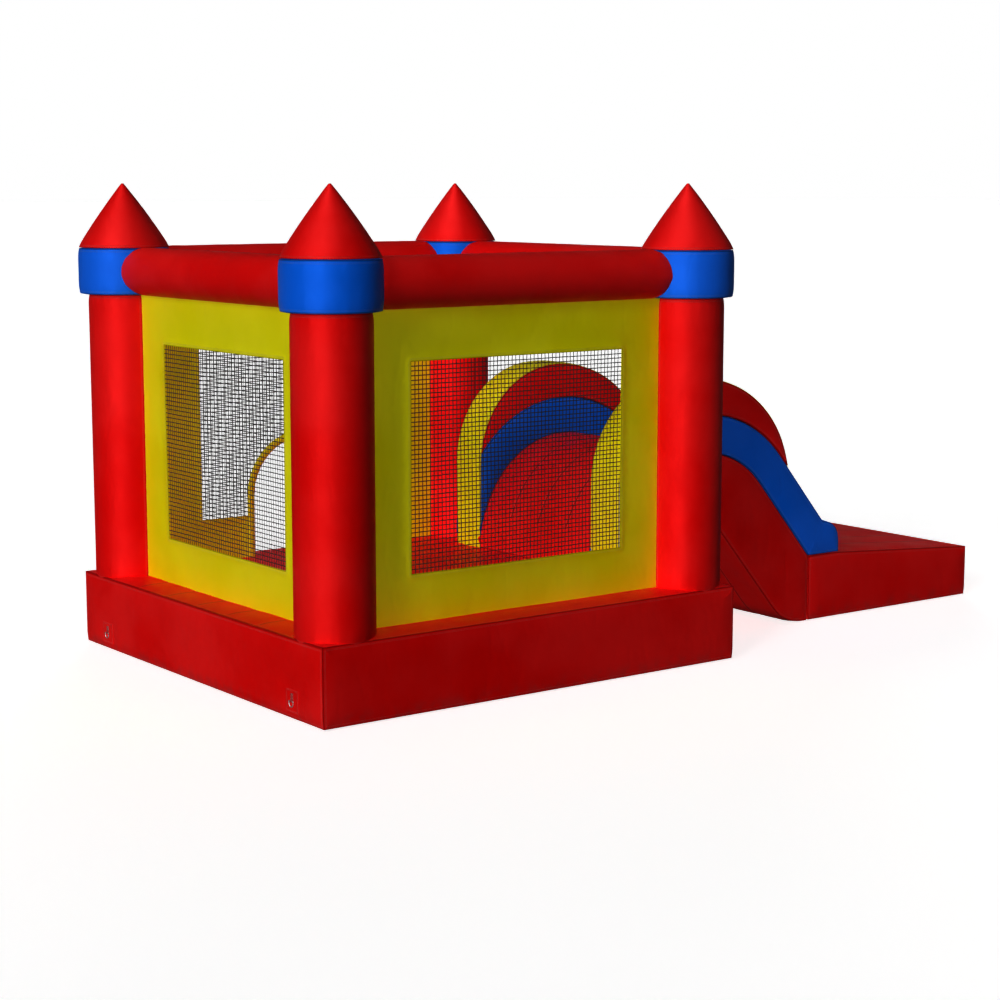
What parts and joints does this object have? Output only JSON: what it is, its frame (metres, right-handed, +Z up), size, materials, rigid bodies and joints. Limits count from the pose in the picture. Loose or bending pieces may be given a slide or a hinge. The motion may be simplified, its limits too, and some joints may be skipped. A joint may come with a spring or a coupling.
{
  "type": "inflatable bounce house",
  "caption": "Inflatable castle bounce house with corner towers, netted windows, an arched door and a slide that leads over the edge to a run-out mat.",
  "frame": {"origin": "centre of the bounce floor's underside, on the ground", "axes": "+X towards the slide's exit, +Y towards the side with the door, +Z up"},
  "size_m": [7.801, 4.396, 3.91],
  "materials": {
    "red_vinyl": "satin",
    "blue_vinyl": "satin",
    "yellow_vinyl": "satin",
    "black_net": "matte",
    "inner_web": "matte",
    "sleeve_vinyl": "satin",
    "red_webbing": "matte",
    "black_webbing": "matte",
    "zip_fabric": "matte",
    "zip_plastic": "satin",
    "black_plastic": "satin",
    "nickel": "satin",
    "ring_steel": "satin"
  },
  "bodies": {
    "house": {"bounce_floor": "red_vinyl", "tower_front_left": "red_vinyl", "tower_front_right": "red_vinyl", "tower_back_left": "red_vinyl", "tower_back_right": "red_vinyl", "cone_front_left": "red_vinyl", "cone_front_right": "red_vinyl", "cone_back_left": "red_vinyl", "cone_back_right": "red_vinyl", "beam_front": "red_vinyl", "beam_back": "red_vinyl", "beam_left": "red_vinyl", "beam_right": "red_vinyl", "slide_bed": "red_vinyl", "runout_mat": "red_vinyl", "slide_arch_front": "red_vinyl", "slide_arch_back": "red_vinyl", "collar_front_left": "blue_vinyl", "collar_front_right": "blue_vinyl", "collar_back_left": "blue_vinyl", "collar_back_right": "blue_vinyl", "slide_bolster_front": "blue_vinyl", "slide_bolster_back": "blue_vinyl", "wall_front": "yellow_vinyl", "wall_left": "yellow_vinyl", "wall_back": "yellow_vinyl", "door_trim": "yellow_vinyl", "slide_rim_front": "yellow_vinyl", "slide_rim_back": "yellow_vinyl", "net_front": "black_net", "net_left": "black_net", "net_back": "black_net", "floor_baffles": "inner_web", "slide_bed_baffles": "inner_web", "runout_baffles": "inner_web", "air_inlet_sleeve": "sleeve_vinyl", "anchor_patches": "red_webbing", "inlet_strap": "black_webbing", "zip_tapes": "zip_fabric", "zip_coil": "zip_plastic", "inlet_buckle": "black_plastic"},
    "ring_front_left": {"anchor_ring_front_left": "ring_steel"},
    "ring_back_left": {"anchor_ring_back_left": "ring_steel"},
    "ring_front_right": {"anchor_ring_front_right": "ring_steel"},
    "ring_back_right": {"anchor_ring_back_right": "ring_steel"},
    "ring_runout_front": {"anchor_ring_runout_front": "ring_steel"},
    "ring_runout_back": {"anchor_ring_runout_back": "ring_steel"},
    "zip_slider_body": {"zip_slider": "nickel"},
    "zip_pull_body": {"zip_pull": "nickel"}
  },
  "joints": [
    {"name": "ring_front_left_swing", "type": "hinge", "parent": "house", "child": "ring_front_left", "pos_m": [-2.013, -1.5, 0.15], "axis": [0, 1, 0], "range_deg": [-5, 170]},
    {"name": "ring_back_left_swing", "type": "hinge", "parent": "house", "child": "ring_back_left", "pos_m": [-2.013, 1.5, 0.15], "axis": [0, 1, 0], "range_deg": [-5, 170]},
    {"name": "ring_front_right_swing", "type": "hinge", "parent": "house", "child": "ring_front_right", "pos_m": [2.013, -1.5, 0.15], "axis": [0, -1, 0], "range_deg": [-5, 170]},
    {"name": "ring_back_right_swing", "type": "hinge", "parent": "house", "child": "ring_back_right", "pos_m": [2.013, 1.5, 0.15], "axis": [0, -1, 0], "range_deg": [-5, 170]},
    {"name": "ring_runout_front_swing", "type": "hinge", "parent": "house", "child": "ring_runout_front", "pos_m": [5.718, -0.9, 0.15], "axis": [0, -1, 0], "range_deg": [-5, 170]},
    {"name": "ring_runout_back_swing", "type": "hinge", "parent": "house", "child": "ring_runout_back", "pos_m": [5.718, 0.9, 0.15], "axis": [0, -1, 0], "range_deg": [-5, 170]},
    {"name": "zip_slide", "type": "slide", "parent": "house", "child": "zip_slider_body", "axis": [1, 0, 0], "range_m": [0, 0.54]},
    {"name": "zip_pull_swing", "type": "hinge", "parent": "zip_slider_body", "child": "zip_pull_body", "pos_m": [0.32, 1.934, 0.3], "axis": [1, 0, 0], "range_deg": [-8, 170]}
  ]
}
